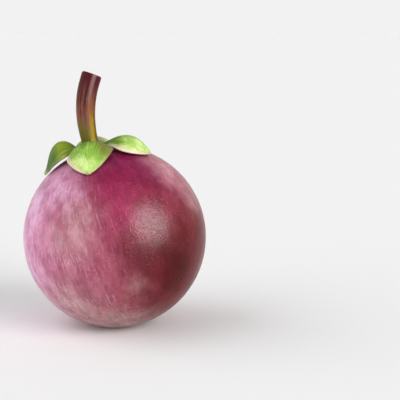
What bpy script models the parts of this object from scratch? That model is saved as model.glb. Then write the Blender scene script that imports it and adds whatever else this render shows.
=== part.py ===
"""A whole mangosteen: the round fruit, its stalk, its four sepals and the rosette at its base.

The fruit lies a little askew, so that its stalk leans to -X, and rests on a small flat spot
whose centre is the world's origin.  Everything that grows on the fruit is modelled in the
fruit's own frame, where +Z runs up the stalk from the middle of the ball, and hangs on one
empty that leans and lifts the lot.
"""

import math
from dataclasses import dataclass

import bmesh
import bpy
from mathutils import Matrix, Vector

MM = 0.001

SHARP_ANGLE = math.radians(40.0)
STEP = 1e-3

# The ball
BALL_RADIUS = 30.0 * MM
BALL_SEGMENTS = 60
BALL_RINGS = 34
LEAN = math.radians(15.0)
FLAT_DEPTH = 0.35 * MM
STALK_DIMPLE_DEPTH = 1.0 * MM
STALK_DIMPLE_ANGLE = math.radians(10.0)
BASE_DIMPLE_DEPTH = 1.0 * MM
BASE_DIMPLE_ANGLE = math.radians(11.0)
BASE_OFFSET_ANGLE = math.radians(5.0)
SWELL_HEIGHT = 0.12 * MM
SWELL_PHASE = math.radians(40.0)
LOBE_COUNT = 5
LOBE_HEIGHT = 0.07 * MM
LOBE_PHASE = math.radians(63.0)

# Pieces that touch are modelled this far apart
GAP = 0.35 * MM

# The stalk
STALK_FOOT_Z = BALL_RADIUS - STALK_DIMPLE_DEPTH + GAP
STALK_TOP_Z = 53.0 * MM
STALK_FOOT_X = 0.65 * MM
STALK_BEND = 6.3 * MM
STALK_BEND_BACK = 1.0 * MM
STALK_BEND_POWER = 2.6
STALK_FOOT_RADIUS = 2.9 * MM
STALK_WAIST_RADIUS = 2.7 * MM
STALK_TOP_RADIUS = 3.3 * MM
STALK_WAIST_AT = 0.18
STALK_RIM = 0.7 * MM
STALK_SIDES = 20
STALK_ROWS = 16
RIM_ROWS = 3

# What the four sepals share
SEPAL_ROOT_ANGLE = math.radians(7.2)
SEPAL_ROOT_HEIGHT = 0.9 * MM
SEPAL_TIP_HEIGHT = 0.95 * MM
SEPAL_EDGE_HEIGHT = 0.85 * MM
SEPAL_CUP_ANGLE = math.radians(68.0)
SEPAL_THICK_MIDDLE = 1.0 * MM
SEPAL_THICK_EDGE = 0.7 * MM
SEPAL_TIP_HALF_WIDTH = 0.4 * MM
SEPAL_ROWS = 16
SEPAL_COLUMNS = 12

# The rosette
ROSETTE_LOBES = 6
ROSETTE_RADIUS = 4.0 * MM
ROSETTE_NOTCH = 0.55
ROSETTE_LOBE_POWER = 0.5
ROSETTE_THICK_RIM = 0.6 * MM
ROSETTE_DOME = 0.2 * MM
ROSETTE_RINGS = 4
ROSETTE_POINTS_PER_LOBE = 10


@dataclass
class Sepal:
    """One sepal's own form; places along it run from 0 at the root to 1 at the tip.

    The curl is the share of the midline's arch that the margins keep.
    """

    name: str
    azimuth: float
    tip_angle: float
    hump: float
    hump_at: float
    hump_sharpness: float
    curl: float
    half_width: float
    lopsided: float
    wide_at: float
    neck: float
    swell: float
    taper: float
    roundness: float


SEPALS = (
    Sepal("sepal_front", azimuth=math.radians(-95.0), tip_angle=math.radians(36.3),
          hump=3.7 * MM, hump_at=0.34, hump_sharpness=3.4, curl=0.12, half_width=7.1 * MM,
          lopsided=0.08, wide_at=0.25, neck=0.34, swell=1.3, taper=1.55, roundness=0.66),
    Sepal("sepal_left", azimuth=math.radians(179.0), tip_angle=math.radians(32.0),
          hump=5.0 * MM, hump_at=0.33, hump_sharpness=3.0, curl=0.24, half_width=6.6 * MM,
          lopsided=-0.08, wide_at=0.36, neck=0.34, swell=1.1, taper=1.4, roundness=0.75),
    Sepal("sepal_right", azimuth=math.radians(-16.0), tip_angle=math.radians(38.2),
          hump=3.0 * MM, hump_at=0.53, hump_sharpness=3.6, curl=0.25, half_width=7.2 * MM,
          lopsided=0.05, wide_at=0.58, neck=0.15, swell=2.4, taper=2.0, roundness=0.7),
    Sepal("sepal_back", azimuth=math.radians(88.0), tip_angle=math.radians(33.5),
          hump=3.3 * MM, hump_at=0.38, hump_sharpness=3.2, curl=0.2, half_width=6.7 * MM,
          lopsided=0.0, wide_at=0.42, neck=0.34, swell=1.2, taper=1.6, roundness=0.75),
)

# Finishes: colour, roughness, metallic
FINISHES = {
    "fruit": ((0.30, 0.055, 0.12), 0.38, 0.0),
    "stigma": ((0.075, 0.045, 0.03), 0.70, 0.0),
    "sepal_front": ((0.35, 0.62, 0.13), 0.36, 0.0),
    "sepal_left": ((0.20, 0.33, 0.04), 0.40, 0.0),
    "sepal_right": ((0.34, 0.62, 0.15), 0.36, 0.0),
    "sepal_back": ((0.38, 0.50, 0.18), 0.40, 0.0),
    "stem": ((0.13, 0.035, 0.03), 0.45, 0.0),
}


def clear_scene():
    """Remove whatever the file holds."""
    for thing in list(bpy.data.objects):
        bpy.data.objects.remove(thing, do_unlink=True)


def finish_material(name):
    """A Principled material in the piece's own colour."""
    colour, roughness, metallic = FINISHES[name]
    material = bpy.data.materials.new(name)
    material.use_nodes = True
    shader = material.node_tree.nodes["Principled BSDF"]
    shader.inputs["Base Color"].default_value = (*colour, 1.0)
    shader.inputs["Roughness"].default_value = roughness
    shader.inputs["Metallic"].default_value = metallic
    return material


def add_piece(name, bm, parent):
    """Turn a bmesh into a named object on the leaning empty, smooth but for its sharp edges."""
    bmesh.ops.recalc_face_normals(bm, faces=bm.faces)
    for edge in bm.edges:
        edge.smooth = edge.calc_face_angle(0.0) < SHARP_ANGLE
    mesh = bpy.data.meshes.new(name)
    bm.to_mesh(mesh)
    bm.free()
    mesh.materials.append(finish_material(name))
    piece = bpy.data.objects.new(name, mesh)
    bpy.context.scene.collection.objects.link(piece)
    piece.parent = parent
    return piece


def dimple(angle, depth, reach):
    """Depth of a soft round hollow at an angle from its middle."""
    return depth * math.exp(-((angle / reach) ** 4))


def towards_base(direction):
    """Turn a direction about the fruit's own -Z to one about the rosette, a little to one side."""
    return Matrix.Rotation(-BASE_OFFSET_ANGLE, 3, "Y") @ direction


def ball_radius_at(direction):
    """Distance from the ball's middle to its skin in one direction."""
    around = math.atan2(direction.y, direction.x)
    swell = SWELL_HEIGHT * math.cos(2.0 * around + SWELL_PHASE)
    lobes = LOBE_HEIGHT * math.cos(LOBE_COUNT * around - LOBE_PHASE) * direction.z
    radius = BALL_RADIUS + (1.0 - direction.z ** 2) * (swell + lobes)
    top, base = Vector((0.0, 0.0, 1.0)), towards_base(Vector((0.0, 0.0, -1.0)))
    radius -= dimple(direction.angle(top), STALK_DIMPLE_DEPTH, STALK_DIMPLE_ANGLE)
    radius -= dimple(direction.angle(base), BASE_DIMPLE_DEPTH, BASE_DIMPLE_ANGLE)
    return radius


def make_ball(parent):
    """The fruit: a nearly true ball, dimpled at both ends, cut flat where it rests."""
    bm = bmesh.new()
    bmesh.ops.create_uvsphere(bm, u_segments=BALL_SEGMENTS, v_segments=BALL_RINGS, radius=1.0)
    for vert in bm.verts:
        direction = vert.co.normalized()
        vert.co = direction * ball_radius_at(direction)
    down = Matrix.Rotation(LEAN, 3, "Y") @ Vector((0.0, 0.0, -1.0))
    everything = bm.verts[:] + bm.edges[:] + bm.faces[:]
    bmesh.ops.bisect_plane(bm, geom=everything, dist=1e-7, clear_outer=True,
                           plane_co=down * (BALL_RADIUS - FLAT_DEPTH), plane_no=down)
    rim = [edge for edge in bm.edges if edge.is_boundary]
    bmesh.ops.contextual_create(bm, geom=rim)
    return add_piece("fruit", bm, parent)


def arch_height(along, sepal):
    """Height of a sepal's midline above the ball: a straight run plus one rounded hump."""
    along = min(max(along, 0.0), 1.0)
    rise = sepal.hump_sharpness * sepal.hump_at
    fall = sepal.hump_sharpness * (1.0 - sepal.hump_at)
    peak = sepal.hump_at ** rise * (1.0 - sepal.hump_at) ** fall
    hump = along ** rise * (1.0 - along) ** fall / peak
    straight = SEPAL_ROOT_HEIGHT * (1.0 - along) + SEPAL_TIP_HEIGHT * along
    return straight + sepal.hump * hump


def half_width(along, sepal):
    """Half the sepal's width: a narrow neck, a broad middle, a rounded point."""
    along = min(max(along, 0.0), 1.0)
    if along < sepal.wide_at:
        swell = math.sin(0.5 * math.pi * along / sepal.wide_at) ** sepal.swell
        share = sepal.neck + (1.0 - sepal.neck) * swell
    else:
        past = (along - sepal.wide_at) / (1.0 - sepal.wide_at)
        share = max(0.0, 1.0 - past ** sepal.taper) ** sepal.roundness
    return max(sepal.half_width * share, SEPAL_TIP_HALF_WIDTH)


def blade_middle(along, across, sepal):
    """A point of the blade's middle layer, before the blade is turned round the stalk."""
    angle = SEPAL_ROOT_ANGLE + (sepal.tip_angle - SEPAL_ROOT_ANGLE) * along
    offset = across + sepal.lopsided * abs(across)
    sideways = offset * half_width(along, sepal) / BALL_RADIUS
    brim = math.cos(SEPAL_CUP_ANGLE)
    crown = (math.cos(SEPAL_CUP_ANGLE * across) - brim) / (1.0 - brim)
    crown = sepal.curl + (1.0 - sepal.curl) * crown
    height = SEPAL_EDGE_HEIGHT + (arch_height(along, sepal) - SEPAL_EDGE_HEIGHT) * crown
    outward = Vector((math.sin(angle) * math.cos(sideways), math.sin(sideways),
                      math.cos(angle) * math.cos(sideways)))
    return outward * (BALL_RADIUS + height)


def blade_point(along, across, lift, sepal):
    """A point of the blade: along 0..1, across -1..1, lifted off its middle layer."""
    length = blade_middle(along + STEP, across, sepal) - blade_middle(along - STEP, across, sepal)
    breadth = blade_middle(along, across + STEP, sepal) - blade_middle(along, across - STEP, sepal)
    return blade_middle(along, across, sepal) + lift * length.cross(breadth).normalized()


def blade_thickness(across):
    """The blade's thickness, which thins towards its margins."""
    return SEPAL_THICK_MIDDLE + (SEPAL_THICK_EDGE - SEPAL_THICK_MIDDLE) * across ** 2


def blade_face(bm, side, sepal):
    """The grid of vertices of one face of the blade, and its triangles."""
    rows = []
    for row in range(SEPAL_ROWS + 1):
        points = []
        for column in range(SEPAL_COLUMNS + 1):
            across = 2.0 * column / SEPAL_COLUMNS - 1.0
            lift = 0.5 * side * blade_thickness(across)
            points.append(bm.verts.new(blade_point(row / SEPAL_ROWS, across, lift, sepal)))
        rows.append(points)
    for near, far in zip(rows, rows[1:]):
        for column in range(SEPAL_COLUMNS):
            bm.faces.new((near[column], near[column + 1], far[column + 1]))
            bm.faces.new((near[column], far[column + 1], far[column]))
    return rows


def rim_loop(rows):
    """The vertices round the edge of a grid, in order."""
    right = [row[-1] for row in rows[1:-1]]
    left = [row[0] for row in rows[1:-1]]
    return rows[0] + right + rows[-1][::-1] + left[::-1]


def join_loops(bm, first, second):
    """A band of faces between two closed loops of as many vertices."""
    for index in range(len(first)):
        follow = (index + 1) % len(first)
        bm.faces.new((first[index], first[follow], second[follow], second[index]))


def make_sepal(sepal, parent):
    """One cupped leathery blade, arched off the fruit and curling down to its tip."""
    bm = bmesh.new()
    upper, lower = (blade_face(bm, side, sepal) for side in (1.0, -1.0))
    join_loops(bm, rim_loop(upper), rim_loop(lower))
    bm.transform(Matrix.Rotation(sepal.azimuth, 4, "Z"))
    return add_piece(sepal.name, bm, parent)


def stalk_centre(along):
    """The stalk's middle line: straight out of the fruit, then bending over to +X."""
    bend = along ** STALK_BEND_POWER
    height = STALK_FOOT_Z + (STALK_TOP_Z - STALK_FOOT_Z) * along
    return Vector((STALK_FOOT_X + STALK_BEND * bend, STALK_BEND_BACK * bend, height))


def stalk_radius(along):
    """The stalk's radius: a slight waist over its foot, then thickening to the cut."""
    if along < STALK_WAIST_AT:
        share = 0.5 + 0.5 * math.cos(math.pi * along / STALK_WAIST_AT)
        return STALK_WAIST_RADIUS + (STALK_FOOT_RADIUS - STALK_WAIST_RADIUS) * share
    share = math.sin(0.5 * math.pi * (along - STALK_WAIST_AT) / (1.0 - STALK_WAIST_AT))
    return STALK_WAIST_RADIUS + (STALK_TOP_RADIUS - STALK_WAIST_RADIUS) * share


def stalk_ring(bm, along, radius, lift=0.0):
    """One ring of vertices square to the stalk's middle line."""
    ahead, behind = stalk_centre(along + STEP), stalk_centre(max(along - STEP, 0.0))
    forward = (ahead - behind).normalized()
    side = Vector((0.0, 1.0, 0.0)).cross(forward).normalized()
    back = forward.cross(side)
    middle = stalk_centre(along) + forward * lift
    ring = []
    for index in range(STALK_SIDES):
        turn = 2.0 * math.pi * index / STALK_SIDES
        ring.append(bm.verts.new(middle + radius * (math.cos(turn) * side + math.sin(turn) * back)))
    return ring


def make_stalk(parent):
    """The bent stalk, with its cut top slightly rounded at the rim."""
    bm = bmesh.new()
    rings = [stalk_ring(bm, row / STALK_ROWS, stalk_radius(row / STALK_ROWS))
             for row in range(STALK_ROWS + 1)]
    for row in range(1, RIM_ROWS + 1):
        turn = 0.5 * math.pi * row / RIM_ROWS
        radius = STALK_TOP_RADIUS - STALK_RIM * (1.0 - math.cos(turn))
        rings.append(stalk_ring(bm, 1.0, radius, STALK_RIM * math.sin(turn)))
    for lower, upper in zip(rings, rings[1:]):
        join_loops(bm, lower, upper)
    bm.faces.new(rings[0])
    bm.faces.new(rings[-1])
    return add_piece("stem", bm, parent)


def rosette_point(share, turn, lift, dome):
    """A point of the rosette, which follows the skin under it at a small distance."""
    lobe = abs(math.cos(0.5 * ROSETTE_LOBES * turn)) ** ROSETTE_LOBE_POWER
    reach = ROSETTE_RADIUS * (ROSETTE_NOTCH + (1.0 - ROSETTE_NOTCH) * lobe)
    spread = share * reach / BALL_RADIUS
    flat = math.sin(spread)
    outward = towards_base(Vector((flat * math.cos(turn), flat * math.sin(turn), -math.cos(spread))))
    return outward * (ball_radius_at(outward) + lift + dome * (1.0 - share ** 2))


def rosette_face(bm, lift, dome):
    """One face of the rosette: rings of triangles round a middle point.  Returns its rim."""
    points = ROSETTE_LOBES * ROSETTE_POINTS_PER_LOBE
    turns = [2.0 * math.pi * index / points for index in range(points)]
    middle = bm.verts.new(rosette_point(0.0, 0.0, lift, dome))
    rings = []
    for ring in range(1, ROSETTE_RINGS + 1):
        share = ring / ROSETTE_RINGS
        rings.append([bm.verts.new(rosette_point(share, turn, lift, dome)) for turn in turns])
    for index in range(points):
        follow = (index + 1) % points
        bm.faces.new((middle, rings[0][index], rings[0][follow]))
        for inner, outer in zip(rings, rings[1:]):
            bm.faces.new((inner[index], outer[index], outer[follow]))
            bm.faces.new((inner[index], outer[follow], inner[follow]))
    return rings[-1]


def make_rosette(parent):
    """The dried stigma: a small lobed plate lying in the dimple at the fruit's base."""
    bm = bmesh.new()
    under = rosette_face(bm, GAP, 0.0)
    outer = rosette_face(bm, GAP + ROSETTE_THICK_RIM, ROSETTE_DOME)
    join_loops(bm, under, outer)
    return add_piece("stigma", bm, parent)


def build():
    """Make every piece and hang it on the leaning axis."""
    clear_scene()
    axis = bpy.data.objects.new("fruit_axis", None)
    bpy.context.scene.collection.objects.link(axis)
    axis.location = (0.0, 0.0, BALL_RADIUS - FLAT_DEPTH)
    axis.rotation_euler = (0.0, -LEAN, 0.0)
    make_ball(axis)
    make_rosette(axis)
    for sepal in SEPALS:
        make_sepal(sepal, axis)
    make_stalk(axis)


build()
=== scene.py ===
"""The looks of a whole mangosteen, laid out as a Blender add-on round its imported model.

Each piece is grown by a Geometry Nodes tree from the formulas that gave the solids their form,
in the fruit's own frame: +Z runs up the stalk from the middle of the ball.  The tree's last step
leans and lifts the piece to where the solid lies.  Pieces are then kept as plain meshes.
"""

import math
from dataclasses import dataclass

import bpy
from bpy.props import FloatProperty, FloatVectorProperty, IntProperty, PointerProperty
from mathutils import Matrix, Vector


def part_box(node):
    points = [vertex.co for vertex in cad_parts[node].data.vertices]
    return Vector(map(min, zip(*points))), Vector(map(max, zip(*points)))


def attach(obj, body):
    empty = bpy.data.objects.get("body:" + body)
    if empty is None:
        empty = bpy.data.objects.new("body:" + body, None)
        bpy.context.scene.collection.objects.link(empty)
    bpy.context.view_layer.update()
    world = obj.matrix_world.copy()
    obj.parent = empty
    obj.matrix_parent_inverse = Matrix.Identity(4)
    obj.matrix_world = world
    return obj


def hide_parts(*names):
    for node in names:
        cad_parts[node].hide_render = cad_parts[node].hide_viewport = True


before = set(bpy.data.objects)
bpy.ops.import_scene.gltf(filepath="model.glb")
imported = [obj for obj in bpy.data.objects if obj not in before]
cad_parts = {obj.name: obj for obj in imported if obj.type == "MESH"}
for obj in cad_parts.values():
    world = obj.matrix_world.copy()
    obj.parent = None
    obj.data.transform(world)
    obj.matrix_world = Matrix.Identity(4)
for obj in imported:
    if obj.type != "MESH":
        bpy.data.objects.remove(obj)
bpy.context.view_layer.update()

bl_info = {
    "name": "Mangosteen",
    "version": (1, 0, 0),
    "blender": (4, 5, 0),
    "location": "3D View > Sidebar > Mangosteen",
    "description": "Grows the rind, sepals, stalk and rosette of a mangosteen and sets its stage",
    "category": "Add Mesh",
}

MM = 0.001

# How the fruit lies
fruit_low, fruit_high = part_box("fruit")
BALL_RADIUS = round((fruit_high.x - fruit_low.x + fruit_high.y - fruit_low.y) / 4.0, 4)
LEAN = math.radians(15.0)
FLAT_DEPTH = 0.35 * MM
CENTRE_HEIGHT = BALL_RADIUS - FLAT_DEPTH

# The ball
BALL_GRID = 128
STALK_DIMPLE_DEPTH = 1.0 * MM
STALK_DIMPLE_ANGLE = math.radians(10.0)
BASE_DIMPLE_DEPTH = 1.0 * MM
BASE_DIMPLE_ANGLE = math.radians(11.0)
BASE_OFFSET_ANGLE = math.radians(5.0)
SWELL_HEIGHT = 0.12 * MM
SWELL_PHASE = math.radians(40.0)
LOBE_COUNT = 5
LOBE_HEIGHT = 0.07 * MM
LOBE_PHASE = math.radians(63.0)

# The stalk
STALK_FOOT_Z = BALL_RADIUS - 0.65 * MM
STALK_TOP_Z = 53.0 * MM
STALK_FOOT_X = 0.65 * MM
STALK_BEND = 6.3 * MM
STALK_BEND_BACK = 1.0 * MM
STALK_BEND_POWER = 2.6
STALK_FOOT_RADIUS = 2.9 * MM
STALK_WAIST_RADIUS = 2.7 * MM
STALK_TOP_RADIUS = 3.3 * MM
STALK_WAIST_AT = 0.18
STALK_RIM = 0.7 * MM
STALK_SIDES = 112
STALK_ROWS = 190
STALK_CUT_RINGS = 24
STALK_RIM_SHARE = 0.3

# What the four sepals share
SEPAL_ROOT_ANGLE = math.radians(7.2)
SEPAL_ROOT_RUN = 0.09
SEPAL_ROOT_HEIGHT = 0.9 * MM
SEPAL_TIP_HEIGHT = 0.95 * MM
SEPAL_EDGE_HEIGHT = 0.85 * MM
SEPAL_CUP_ANGLE = math.radians(68.0)
SEPAL_THICK_MIDDLE = 1.0 * MM
SEPAL_THICK_EDGE = 0.62 * MM
SEPAL_TIP_HALF_WIDTH = 0.4 * MM
SEPAL_ROLL = 0.3 * MM
SEPAL_ROWS = 130
SEPAL_COLUMNS = 96
SEPAL_LAYERS = 6
SLOPE_STEP = 0.004

# The rosette
ROSETTE_GAP = 0.35 * MM
ROSETTE_LOBES = 6
ROSETTE_RADIUS = 4.0 * MM
ROSETTE_NOTCH = 0.55
ROSETTE_LOBE_POWER = 0.5
ROSETTE_THICK_RIM = 0.6 * MM
ROSETTE_DOME = 0.2 * MM
ROSETTE_SIDES = 180
ROSETTE_RINGS = 30
ROSETTE_RIM_ROWS = 4

# How far a piece may reach past its solid, as a sepal's root does towards the stalk
FIT_ALLOWANCE = 1.6 * MM


@dataclass
class Sepal:
    """One sepal's own form; places along it run from 0 at the root to 1 at the tip.

    The curl is the share of the midline's arch that the margins keep.  The last four are
    colouring: how creamy either margin is, seen from the root, how far out the cream starts,
    and how olive the right margin is.
    """

    name: str
    slot: str
    azimuth: float
    tip_angle: float
    hump: float
    hump_at: float
    hump_sharpness: float
    curl: float
    half_width: float
    lopsided: float
    wide_at: float
    neck: float
    swell: float
    taper: float
    roundness: float
    cream_left: float
    cream_right: float
    cream_from: float = 0.7
    dusk: float = 0.0


SEPALS = (
    Sepal("sepal_front", "sepal_light", azimuth=math.radians(-95.0), tip_angle=math.radians(36.3),
          hump=3.7 * MM, hump_at=0.34, hump_sharpness=3.4, curl=0.12, half_width=7.1 * MM,
          lopsided=0.08, wide_at=0.25, neck=0.34, swell=1.3, taper=1.55, roundness=0.66,
          cream_left=1.0, cream_right=0.1, dusk=1.0),
    Sepal("sepal_left", "sepal_dark", azimuth=math.radians(179.0), tip_angle=math.radians(32.0),
          hump=5.0 * MM, hump_at=0.33, hump_sharpness=3.0, curl=0.24, half_width=6.6 * MM,
          lopsided=-0.08, wide_at=0.36, neck=0.34, swell=1.1, taper=1.4, roundness=0.75,
          cream_left=0.5, cream_right=0.12),
    Sepal("sepal_right", "sepal_light", azimuth=math.radians(-16.0), tip_angle=math.radians(38.2),
          hump=3.0 * MM, hump_at=0.53, hump_sharpness=3.6, curl=0.25, half_width=7.2 * MM,
          lopsided=0.05, wide_at=0.58, neck=0.15, swell=2.4, taper=2.0, roundness=0.7,
          cream_left=1.0, cream_right=0.3),
    Sepal("sepal_back", "sepal_dark", azimuth=math.radians(88.0), tip_angle=math.radians(33.5),
          hump=3.3 * MM, hump_at=0.38, hump_sharpness=3.2, curl=0.2, half_width=6.7 * MM,
          lopsided=0.0, wide_at=0.42, neck=0.34, swell=1.2, taper=1.6, roundness=0.75,
          cream_left=0.8, cream_right=0.8, cream_from=0.1),
)

# What a sepal has that doesn't shape it
SEPAL_LOOKS = ("name", "slot", "cream_left", "cream_right", "cream_from", "dusk")


# -------------------- node trees

VECTOR_KINDS = ("VECTOR", "RGBA")


def open_socket(sockets, key):
    """The socket of that name, or of that place, among those in use."""
    in_use = [socket for socket in sockets if socket.enabled]
    if isinstance(key, int):
        return in_use[key]
    return next(socket for socket in in_use if socket.name == key)


def operator(operation, swapped=False):
    """The method that works out one arithmetic sign on a term."""
    def method(self, other):
        pair = (other, self) if swapped else (self, other)
        return self.tree.work_out(operation, *pair)
    return method


class Term:
    """One value in a node tree; arithmetic on it adds the nodes that work out the result."""

    def __init__(self, tree, socket):
        self.tree = tree
        self.socket = socket

    __add__ = operator("ADD")
    __radd__ = operator("ADD", swapped=True)
    __sub__ = operator("SUBTRACT")
    __rsub__ = operator("SUBTRACT", swapped=True)
    __mul__ = operator("MULTIPLY")
    __rmul__ = operator("MULTIPLY", swapped=True)
    __truediv__ = operator("DIVIDE")
    __pow__ = operator("POWER")

    def at_least(self, least):
        """This value, or the other where that is more."""
        return self.tree.work_out("MAXIMUM", self, least)

    def at_most(self, most):
        """This value, or the other where that is less."""
        return self.tree.work_out("MINIMUM", self, most)

    def do(self, operation):
        """A Math or Vector Math function of this value alone."""
        return self.tree.work_out(operation, self)

    def out(self, name):
        """Another output of the node that this value comes from."""
        return Term(self.tree, open_socket(self.socket.node.outputs, name))


class Tree:
    """A node tree being built, for a shape or for a finish."""

    def __init__(self, group):
        self.group = group

    def add(self, kind, settings=None, sockets=None):
        """Add a node; its settings are set first, then its sockets are filled or linked."""
        node = self.group.nodes.new(kind)
        for name, value in (settings or {}).items():
            setattr(node, name, value)
        for name, value in (sockets or {}).items():
            socket = open_socket(node.inputs, name)
            if isinstance(value, Term):
                self.group.links.new(value.socket, socket)
            else:
                socket.default_value = value
        return Term(self, open_socket(node.outputs, 0)) if node.outputs else None

    def work_out(self, operation, *values):
        """A Math node, or a Vector Math node where a value is a vector."""
        kinds = [value.socket.type for value in values if isinstance(value, Term)]
        if not any(kind in VECTOR_KINDS for kind in kinds):
            return self.add("ShaderNodeMath", {"operation": operation}, dict(enumerate(values)))
        spread = [value if isinstance(value, (Term, Vector, tuple)) else (value,) * 3
                  for value in values]
        return self.add("ShaderNodeVectorMath", {"operation": operation}, dict(enumerate(spread)))

    def join(self, x, y, z):
        """A vector of three values."""
        return self.add("ShaderNodeCombineXYZ", None, {"X": x, "Y": y, "Z": z})

    def split(self, vector):
        """The three values of a vector."""
        parts = self.add("ShaderNodeSeparateXYZ", None, {0: vector})
        return parts, parts.out("Y"), parts.out("Z")

    def mix(self, share, first, second):
        """A colour between two others; both are linear red, green, blue."""
        first, second = (value if isinstance(value, Term) else (*value, 1.0)
                         for value in (first, second))
        settings = {"data_type": "RGBA"}
        return self.add("ShaderNodeMix", settings, {"Factor": share, "A": first, "B": second})

    def noise(self, vector, scale=1.0, detail=3.0, roughness=0.5):
        """Cloudy noise between 0 and 1, mostly near 0.5."""
        sockets = {"Vector": vector, "Scale": scale, "Detail": detail, "Roughness": roughness}
        return self.add("ShaderNodeTexNoise", None, sockets)

    def ease(self, value, start, end):
        """0 before start and 1 past end, with a smooth step between."""
        sockets = {"Value": value, "From Min": start, "From Max": end}
        return self.add("ShaderNodeMapRange", {"interpolation_type": "SMOOTHSTEP"}, sockets)


class ShapeTree(Tree):
    """A Geometry Nodes tree with named inputs, which ends in Realize Instances and Set Material."""

    def __init__(self, name):
        super().__init__(bpy.data.node_groups.new(name, "GeometryNodeTree"))
        self.values = {}

    def take(self, **inputs):
        """Add a named number input for each size.  Returns a term for each, by name."""
        for name, value in inputs.items():
            kind = "NodeSocketInt" if isinstance(value, int) else "NodeSocketFloat"
            label = name.replace("_", " ").capitalize()
            self.group.interface.new_socket(label, in_out="INPUT", socket_type=kind)
            self.values[label] = value
        source = self.add("NodeGroupInput")
        return {name: source.out(name.replace("_", " ").capitalize()) for name in inputs}

    def stand(self, vector):
        """Lean a point of the fruit's own frame over and lift it to where the fruit lies."""
        sockets = {"Vector": vector, "Angle": -LEAN}
        leaned = self.add("ShaderNodeVectorRotate", {"rotation_type": "Y_AXIS"}, sockets)
        return leaned + Vector((0.0, 0.0, CENTRE_HEIGHT))

    def finish(self, mesh, position, material, **kept):
        """Move the mesh's points to their places, keep the named fields, and end the tree."""
        for name, field in kept.items():
            settings = {"data_type": "FLOAT_VECTOR", "domain": "POINT"}
            sockets = {"Geometry": mesh, "Name": name, "Value": field}
            mesh = self.add("GeometryNodeStoreNamedAttribute", settings, sockets)
        mesh = self.add("GeometryNodeSetPosition", None, {"Geometry": mesh, "Position": position})
        mesh = self.add("GeometryNodeSetShadeSmooth", None, {"Geometry": mesh})
        mesh = self.add("GeometryNodeRealizeInstances", None, {"Geometry": mesh})
        sockets = {"Geometry": mesh, "Material": material}
        mesh = self.add("GeometryNodeSetMaterial", None, sockets)
        self.group.interface.new_socket("Mesh", in_out="OUTPUT", socket_type="NodeSocketGeometry")
        self.add("NodeGroupOutput", None, {0: mesh})

    def grow(self, name):
        """Run the tree once and keep what it makes as a plain mesh object."""
        piece = bpy.data.objects.new(name, bpy.data.meshes.new(name))
        bpy.context.scene.collection.objects.link(piece)
        modifier = piece.modifiers.new("grow", "NODES")
        modifier.node_group = self.group
        for item in self.group.interface.items_tree:
            if item.in_out == "INPUT":
                modifier[item.identifier] = self.values[item.name]
        depsgraph = bpy.context.evaluated_depsgraph_get()
        mesh = bpy.data.meshes.new_from_object(piece.evaluated_get(depsgraph),
                                               preserve_all_data_layers=True, depsgraph=depsgraph)
        piece.modifiers.remove(modifier)
        piece.data = mesh
        mesh.name = name
        return piece


class FinishTree(Tree):
    """A new material's node tree, with its Principled shader in place."""

    def __init__(self, name):
        self.material = bpy.data.materials.new(name)
        self.material.use_nodes = True
        super().__init__(self.material.node_tree)
        self.shader = self.group.nodes["Principled BSDF"]

    def on_ball(self):
        """Where a point lies in the fruit's own frame, in ball radii."""
        place = self.add("ShaderNodeTexCoord").out("Object")
        sockets = {"Vector": place, "Location": (0.0, 0.0, CENTRE_HEIGHT),
                   "Rotation": (0.0, -LEAN, 0.0), "Scale": (BALL_RADIUS,) * 3}
        return self.add("ShaderNodeMapping", {"vector_type": "TEXTURE"}, sockets)

    def kept(self, name):
        """A field that the shape tree kept on the mesh."""
        return self.add("ShaderNodeAttribute", {"attribute_name": name}).out("Vector")

    def paint(self, ground, *layers):
        """Lay colours over the ground in turn; each layer is a pair of its cover and its colour."""
        for cover, above in layers:
            ground = self.mix(cover, ground, above)
        return ground

    def dress(self, height=None, height_scale=1.0 * MM, **sockets):
        """Fill the shader's sockets, and bump its normal by a height in parts of the scale."""
        if height is not None:
            bump = {"Strength": 1.0, "Distance": height_scale, "Height": height}
            sockets["Normal"] = self.add("ShaderNodeBump", None, bump)
        for name, value in sockets.items():
            socket = open_socket(self.shader.inputs, name.replace("_", " "))
            if isinstance(value, Term):
                self.group.links.new(value.socket, socket)
            else:
                socket.default_value = value
        return self.material


def place_piece(piece, node):
    """Let a finished piece ride with the fruit and stand for its solid."""
    low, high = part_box(node)
    corners = [Vector(corner) for corner in piece.bound_box]
    for axis in range(3):
        shortest = min(corner[axis] for corner in corners)
        longest = max(corner[axis] for corner in corners)
        if shortest < low[axis] - FIT_ALLOWANCE or longest > high[axis] + FIT_ALLOWANCE:
            raise RuntimeError(f"{piece.name} runs {shortest} to {longest} on axis {axis}, "
                               f"its solid {low[axis]} to {high[axis]}")
    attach(piece, "root")
    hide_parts(node)


# -------------------- sizes and colours

def length(name, description, default):
    """A length that the user may change."""
    return FloatProperty(name=name, description=description, default=default, unit="LENGTH",
                         min=0.0, precision=5)


def share(name, description, default):
    """A plain number between 0 and 1."""
    return FloatProperty(name=name, description=description, default=default, min=0.0, max=1.0,
                         subtype="FACTOR")


def strength(name, description, default):
    """A light's strength, in watts a square metre."""
    return FloatProperty(name=name, description=description, default=default, min=0.0)


def colour(name, description, default):
    """A linear colour that the user may change."""
    return FloatVectorProperty(name=name, description=description, default=default,
                               subtype="COLOR", size=3, min=0.0, max=1.0)


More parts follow.
